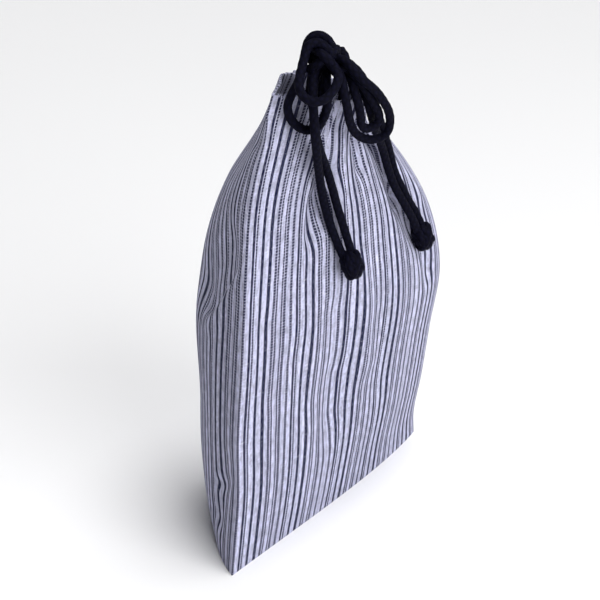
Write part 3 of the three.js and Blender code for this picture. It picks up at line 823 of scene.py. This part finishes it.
class POUCH_OT_cloth(bpy.types.Operator):
    """Makes the pouch's body from one sheet of striped cotton, with its turned hem and flat base"""

    bl_idname = "pouch.cloth"
    bl_label = "Pouch cloth"

    def execute(self, context):
        cloth = context.scene.pouch_cloth
        width = cloth.panel_width / MM
        height = cloth.height / MM
        pitch = width / cloth.stripe_count
        heights = np.linspace(0, height, HEIGHT_ROWS + 1)
        outer = cloth_strip(heights, width)
        grid = np.concatenate([outer, *self.hem(outer[-1:], height, cloth.hem_depth / MM, width)], axis=0)
        levels = np.concatenate([heights, np.full(len(grid) - len(heights), height)])
        points, faces, uvs = self.walls(grid, levels, cloth.back_fullness, width, pitch)
        self.close_base(grid[0], points, faces, uvs, width, pitch)
        material = shared_finish("woven_stripes", striped_cotton, cloth)
        piece = make_piece("pouch_body", np.array(points) * MM, faces, uvs, "weave", material)
        near_fold = range(PANEL_COLUMNS, grid.size // 3, grid.shape[1])
        creased = {corner for corner, level in zip(near_fold, heights) if level < EDGE_ROUNDED[0]}
        for edge in piece.data.edges:
            at_base = max(edge.vertices) <= PANEL_COLUMNS
            edge.use_edge_sharp = at_base or creased.issuperset(edge.vertices)
        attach(piece, "root")
        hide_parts("pouch_cloth")
        threads = self.rim_threads(outer[-1, PANEL_COLUMNS:], pitch, material)
        return {"FINISHED"}

    def hem(self, rim, height, depth, width):
        """Rows that roll over the rim and then run down inside the mouth."""
        strips = []
        for angle in np.radians((45, 90, 135, 180)):
            rolled = rim + inward(rim) * HEM_ROLL * (1 - math.cos(angle))
            strips.append(rolled + np.array([0, 0, HEM_ROLL * math.sin(angle)]))
        for drop in np.linspace(0, depth, HEM_ROWS + 1)[1:]:
            lower = cloth_strip(np.array([height - drop]), width)
            strips.append(lower + inward(lower) * (2 * HEM_ROLL + HEM_SLACK))
        return strips

    def walls(self, grid, levels, back_fullness, width, pitch):
        """Points, faces and UVs of the panels and the hem, with the UVs in millimetres of cloth."""
        climbs = np.linalg.norm(np.diff(grid, axis=0), axis=2)
        ups = np.vstack([np.zeros((1, grid.shape[1])), np.cumsum(climbs, axis=0)])
        eases = section_values(levels)["ease"]
        front_across = woven_shares(grid[:, PANEL_COLUMNS:], eases) * width
        front_across += tucked_cloth(levels, np.linspace(0, 1, PANEL_COLUMNS + 1))
        back_across = woven_shares(grid[:, PANEL_COLUMNS::-1], eases) * width * back_fullness + pitch
        row_length = grid.shape[1]
        faces, uvs = [], []
        for i in range(len(grid) - 1):
            for j in range(row_length - 1):
                here = i * row_length + j
                faces.append((here, here + 1, here + row_length + 1, here + row_length))
                for row, column in ((i, j), (i, j + 1), (i + 1, j + 1), (i + 1, j)):
                    if j < PANEL_COLUMNS:
                        uvs.append((-back_across[row, PANEL_COLUMNS - column], ups[row, column]))
                    else:
                        uvs.append((front_across[row, column - PANEL_COLUMNS], ups[row, column]))
        return list(grid.reshape(-1, 3)), faces, uvs

    def close_base(self, foot, points, faces, uvs, width, pitch):
        """Adds the flat base, in rows from the foot of the back panel to that of the front panel."""
        base = [list(range(PANEL_COLUMNS, -1, -1))]
        for row in range(1, BASE_ROWS + 1):
            share = row / BASE_ROWS
            indices = [PANEL_COLUMNS]
            for k in range(1, PANEL_COLUMNS):
                indices.append(len(points))
                points.append(foot[PANEL_COLUMNS - k] * (1 - share) + foot[PANEL_COLUMNS + k] * share)
            base.append(indices + [0])
        for row in range(BASE_ROWS):
            for k in range(PANEL_COLUMNS):
                corners = (base[row][k], base[row][k + 1], base[row + 1][k + 1], base[row + 1][k])
                shares = ((k, row), (k + 1, row), (k + 1, row + 1), (k, row + 1))
                kept = [n for n in range(4) if corners[n] not in corners[:n]]
                faces.append(tuple(corners[n] for n in kept))
                for n in kept:
                    step, depth = shares[n]
                    uvs.append((-step / PANEL_COLUMNS * width - pitch, -BASE_WEAVE * depth / BASE_ROWS))

    def rim_threads(self, rim, pitch, material):
        """Short loose threads along the near end of the front rim, as a piece of their own."""
        pick = random.Random(11)
        parts = []
        for _ in range(RIM_THREADS):
            place = pick.uniform(*RIM_THREAD_PLACES)
            start = rim[int(place)] + (rim[int(place) + 1] - rim[int(place)]) * (place % 1)
            lean = np.array([pick.uniform(-0.6, 0.6), pick.uniform(-0.7, 0.3), 1.0])
            curl = np.array([pick.uniform(-1, 1), pick.uniform(-1, 0.6), pick.uniform(-0.6, 0.2)])
            reach = pick.uniform(*RIM_THREAD_REACH)
            along = np.linspace(-0.2, 1, 6)[:, None]
            route = start + np.array([0, 0, 0.6]) + reach * (lean * along + curl * along ** 2 * 0.7)
            points, faces = tube(route * MM, np.full((len(route), RIM_THREAD_SIDES), RIM_THREAD_RADIUS))
            corners = sum(len(face) for face in faces)
            parts.append((points, faces, [(pitch / 2, 0.4)] * corners))
        piece = make_piece("rim_threads", *join_parts(parts), "weave", material)
        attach(piece, "root")
        return piece


class POUCH_OT_cords(bpy.types.Operator):
    """Makes the braided strands: those that rise from the mouth, the bow's loops and its two tails"""

    bl_idname = "pouch.cords"
    bl_label = "Cord strands"

    def execute(self, context):
        cord = context.scene.pouch_cord
        material = shared_finish("navy_braid", braided_cotton, cord)
        for node, route in CORD_ROUTES.items():
            path, length = smooth_route(route, STRAND_STEP)
            piece = make_piece(node + "_braid", *braided_tube(path, cord), "braid", material)
            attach(piece, "root")
            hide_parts(node)
        return {"FINISHED"}


def knot_core(node, share, cord):
    """A lump of packed cord that fills a knot under its turns. share is its size in the node's box."""
    low, high = (np.array(corner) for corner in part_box(node))
    around, rows = 48, 24
    turn = np.linspace(0, 1, around + 1)
    slope = np.linspace(0, np.pi, rows + 1)
    half = (high - low) / 2 * share
    spokes = np.stack([
        np.cos(2 * np.pi * turn)[None, :] * np.sin(slope)[:, None],
        np.sin(2 * np.pi * turn)[None, :] * np.sin(slope)[:, None],
        np.repeat(-np.cos(slope)[:, None], around + 1, axis=1),
    ], axis=-1)
    points = ((low + high) / 2 + spokes * half)[:, :-1].reshape(-1, 3)
    wraps = 2 * half[0] / cord.diameter
    faces, uvs = [], []
    for i in range(rows):
        for j in range(around):
            k = (j + 1) % around
            corners = [(i, j, turn[j]), (i, k, turn[j + 1]), (i + 1, k, turn[j + 1]), (i + 1, j, turn[j])]
            if i == 0:
                corners = [(0, 0, turn[j]), *corners[2:]]
            if i == rows - 1:
                corners = [*corners[:2], (rows, 0, turn[j])]
            faces.append(tuple(row * around + column for row, column, _ in corners))
            uvs += [(share_round * wraps, slope[row] * half[2]) for row, _, share_round in corners]
    return points, faces, uvs


def knot_turn(centre, reach, tilt, size, cord):
    """One turn of cord laid round an end knot, as a braided tube."""
    angles = np.radians(np.linspace(0, END_KNOT_ARC, 100))
    waves = np.stack([np.cos(angles), np.sin(angles), np.sin(angles / 2)], axis=1)
    turn = Matrix.Identity(3)
    for angle, axis in zip(tilt, "XYZ"):
        turn = Matrix.Rotation(math.radians(angle), 3, axis) @ turn
    half = np.array((*size, END_KNOT_RISE)) * reach
    return braided_tube(centre + waves * half @ np.array(turn).T * END_KNOT_STRETCH, cord)


def knot_piece(name, node, parts, cord):
    """A knot that stands for a node, from its core and its turns."""
    material = shared_finish("navy_braid", braided_cotton, cord)
    piece = make_piece(name, *join_parts(parts), "braid", material)
    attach(piece, "root")
    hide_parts(node)
    return piece


class POUCH_OT_bow_knot(bpy.types.Operator):
    """Makes the tight knot at the middle of the bow, from turns of the same cord"""

    bl_idname = "pouch.bow_knot"
    bl_label = "Bow knot"

    def execute(self, context):
        cord = context.scene.pouch_cord
        parts = [knot_core("bow_knot", BOW_CORE, cord)]
        for route in KNOT_ROUTES:
            path, _ = smooth_route(route, KNOT_STEP)
            parts.append(braided_tube(path, cord))
        knot_piece("bow_knot_turns", "bow_knot", parts, cord)
        return {"FINISHED"}


class POUCH_OT_end_knots(bpy.types.Operator):
    """Makes the round knot at the end of each tail, from turns of the same cord"""

    bl_idname = "pouch.end_knots"
    bl_label = "End knots"

    def execute(self, context):
        cord = context.scene.pouch_cord
        for node in ("end_knot_front", "end_knot_far"):
            low, high = (np.array(corner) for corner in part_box(node))
            reach = (high - low).max() / 2 - cord.diameter / 2
            parts = [knot_core(node, END_CORE, cord)]
            for tilt, size in END_KNOT_TURNS:
                parts.append(knot_turn((low + high) / 2, reach, tilt, size, cord))
            knot_piece(node + "_turns", node, parts, cord)
        return {"FINISHED"}


class POUCH_OT_stage(bpy.types.Operator):
    """Sets up the floor, the soft studio light and the camera"""

    bl_idname = "pouch.stage"
    bl_label = "Stage"

    def execute(self, context):
        stage = context.scene.pouch_stage
        self.sweep(stage)
        context.scene.world = self.room(stage)
        lamp = bpy.data.lights.new("key_softbox", "AREA")
        lamp.shape = "DISK"
        lamp.size = KEY_SIZE
        lamp.energy = stage.key_power
        self.aim(lamp, KEY_PLACE, KEY_AIM)
        lamp = bpy.data.lights.new("overhead_light", "SUN")
        lamp.angle = TOP_SPREAD
        lamp.energy = stage.top_strength
        self.aim(lamp, TOP_PLACE, TOP_AIM)
        view = bpy.data.cameras.new("photo_view")
        view.lens = 90
        view.sensor_width = 36
        view.clip_end = 60
        camera = bpy.data.objects.new("photo_view", view)
        turn = Matrix((CAMERA_RIGHT, CAMERA_UP, CAMERA_BACK)).transposed()
        camera.matrix_world = Matrix.Translation(CAMERA_PLACE) @ turn.to_4x4()
        context.scene.collection.objects.link(camera)
        context.scene.camera = camera
        context.scene.view_settings.view_transform = "Standard"
        return {"FINISHED"}

    def room(self, stage):
        """The light from all around, a glow just above the far floor that dims higher up."""
        room = Finish(bpy.data.worlds.new("studio_room"))
        direction = room.add("ShaderNodeTexCoord")
        rise = room.add("ShaderNodeSeparateXYZ", None, {"Vector": direction}, output=2)
        strength = SKY_GLOW + room.step(rise, *SKY_RISES) * (stage.sky_strength - SKY_GLOW)
        sky = room.add("ShaderNodeBackground", None, {"Color": (1.0, 1.0, 1.0, 1.0), "Strength": strength})
        return room.close(sky, "ShaderNodeOutputWorld")

    def sweep(self, stage):
        """A round floor that curves up far away, so that its edge hardly shows."""
        points = [(0, 0, 0)]
        faces = [(0, 1 + j, 1 + (j + 1) % FLOOR_SIDES) for j in range(FLOOR_SIDES)]
        for i, (radius, height) in enumerate(FLOOR_PROFILE):
            for j in range(FLOOR_SIDES):
                angle = 2 * math.pi * j / FLOOR_SIDES
                points.append((radius * math.cos(angle), radius * math.sin(angle), height))
                if i > 0:
                    k = (j + 1) % FLOOR_SIDES
                    low, high = 1 + (i - 1) * FLOOR_SIDES, 1 + i * FLOOR_SIDES
                    faces.append((low + j, high + j, high + k, low + k))
        finish = Finish(bpy.data.materials.new("studio_floor"))
        material = finish.surface({"Base Color": (*stage.floor, 1.0), "Roughness": 0.9})
        corners = sum(len(face) for face in faces)
        make_piece("studio_floor", points, faces, [(0, 0)] * corners, "floor", material)

    def aim(self, lamp, place, target):
        """Puts a light at a place, turned towards its target."""
        light = bpy.data.objects.new(lamp.name, lamp)
        light.location = place
        light.rotation_euler = (target - place).to_track_quat("-Z", "Y").to_euler()
        bpy.context.scene.collection.objects.link(light)


class POUCH_PT_panel(bpy.types.Panel):
    """Lists the pouch's pieces"""

    bl_idname = "POUCH_PT_panel"
    bl_label = "Drawstring pouch"
    bl_space_type = "VIEW_3D"
    bl_region_type = "UI"
    bl_category = "Pouch"

    def draw(self, context):
        for settings in (context.scene.pouch_cloth, context.scene.pouch_cord, context.scene.pouch_stage):
            box = self.layout.box()
            for name in settings.__annotations__:
                box.prop(settings, name)
        for operator in OPERATORS:
            self.layout.operator(operator.bl_idname)


SETTINGS = (PouchClothSettings, PouchCordSettings, PouchStageSettings)
OPERATORS = (POUCH_OT_stage, POUCH_OT_cords, POUCH_OT_bow_knot, POUCH_OT_end_knots, POUCH_OT_cloth)
CLASSES = (*SETTINGS, *OPERATORS, POUCH_PT_panel)


def register():
    for cls in CLASSES:
        bpy.utils.register_class(cls)
    bpy.types.Scene.pouch_cloth = PointerProperty(type=PouchClothSettings)
    bpy.types.Scene.pouch_cord = PointerProperty(type=PouchCordSettings)
    bpy.types.Scene.pouch_stage = PointerProperty(type=PouchStageSettings)


def unregister():
    del bpy.types.Scene.pouch_stage
    del bpy.types.Scene.pouch_cord
    del bpy.types.Scene.pouch_cloth
    for cls in reversed(CLASSES):
        bpy.utils.unregister_class(cls)


def main():
    register()
    bpy.ops.pouch.stage()
    bpy.ops.pouch.cords()
    bpy.ops.pouch.bow_knot()
    bpy.ops.pouch.end_knots()
    bpy.ops.pouch.cloth()


if __name__ == "__main__":
    main()
